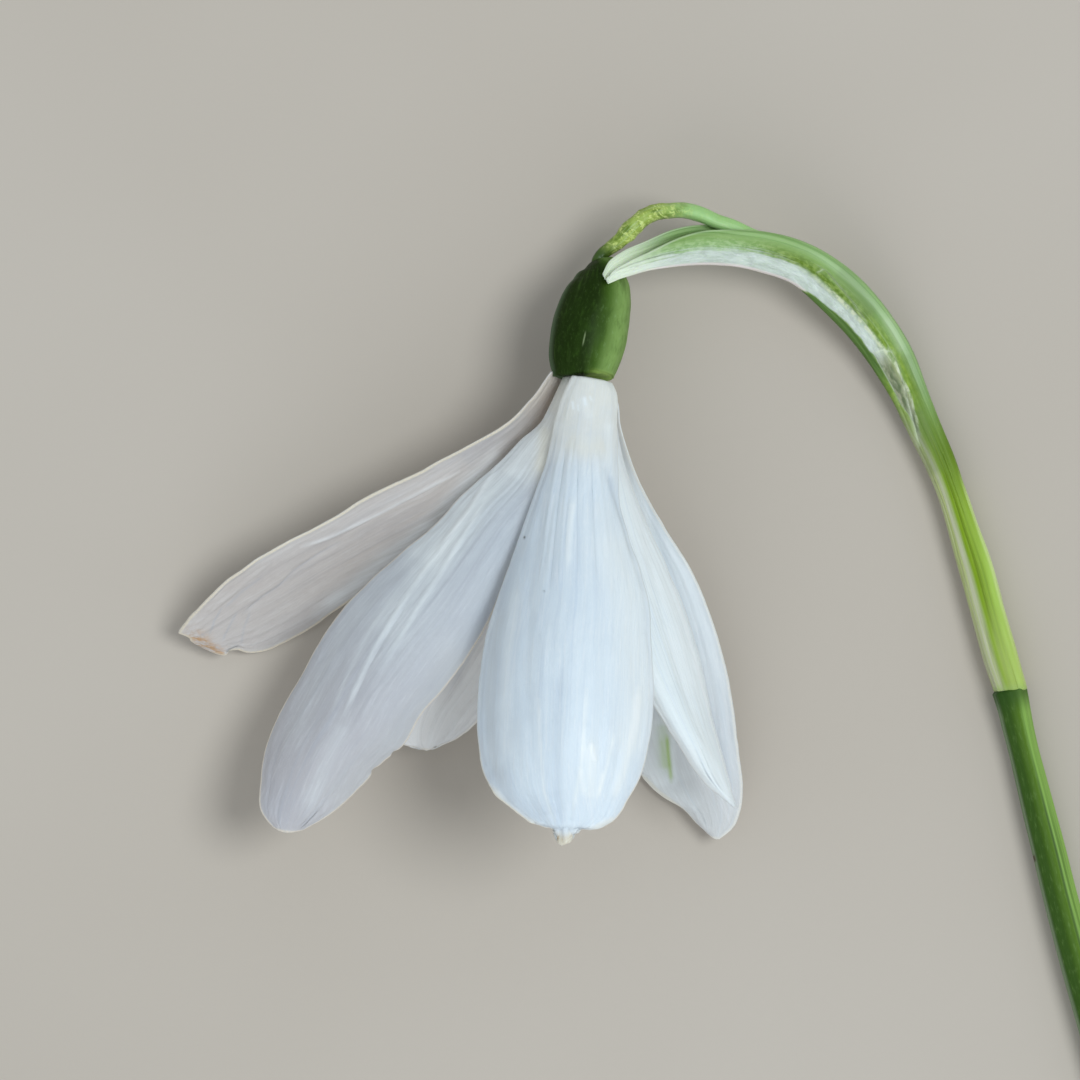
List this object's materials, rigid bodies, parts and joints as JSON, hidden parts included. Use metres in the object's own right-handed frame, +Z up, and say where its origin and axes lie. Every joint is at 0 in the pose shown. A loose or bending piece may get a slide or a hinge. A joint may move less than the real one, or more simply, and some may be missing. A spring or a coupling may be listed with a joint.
{
  "type": "snowdrop flower",
  "caption": "Picked snowdrop flower lying down: green scape arching over in a spathe to a thin pedicel, dark green ovary and a spreading bell of white tepals.",
  "frame": {"origin": "middle of the bounding box at the surface that the flower lies on", "axes": "+Z up from that surface, towards the viewer; +Y from the cut end of the scape towards the top of the arch; +X from the bell towards the scape"},
  "size_m": [0.0634, 0.0716, 0.0151],
  "materials": {
    "tepal": "satin",
    "ovary": "satin",
    "pedicel": "satin",
    "spathe": "satin",
    "scape": "satin",
    "stamen": "matte",
    "style": "satin"
  },
  "bodies": {
    "root": {"scape": "scape", "spathe": "spathe", "pedicel": "pedicel", "ovary": "ovary", "tepal_outer_front": "tepal", "tepal_outer_left": "tepal", "tepal_outer_right": "tepal", "tepal_inner_left": "tepal", "tepal_inner_right": "tepal", "tepal_inner_back": "tepal", "stamen_1": "stamen", "stamen_2": "stamen", "stamen_3": "stamen", "stamen_4": "stamen", "stamen_5": "stamen", "stamen_6": "stamen", "style": "style"}
  },
  "joints": []
}
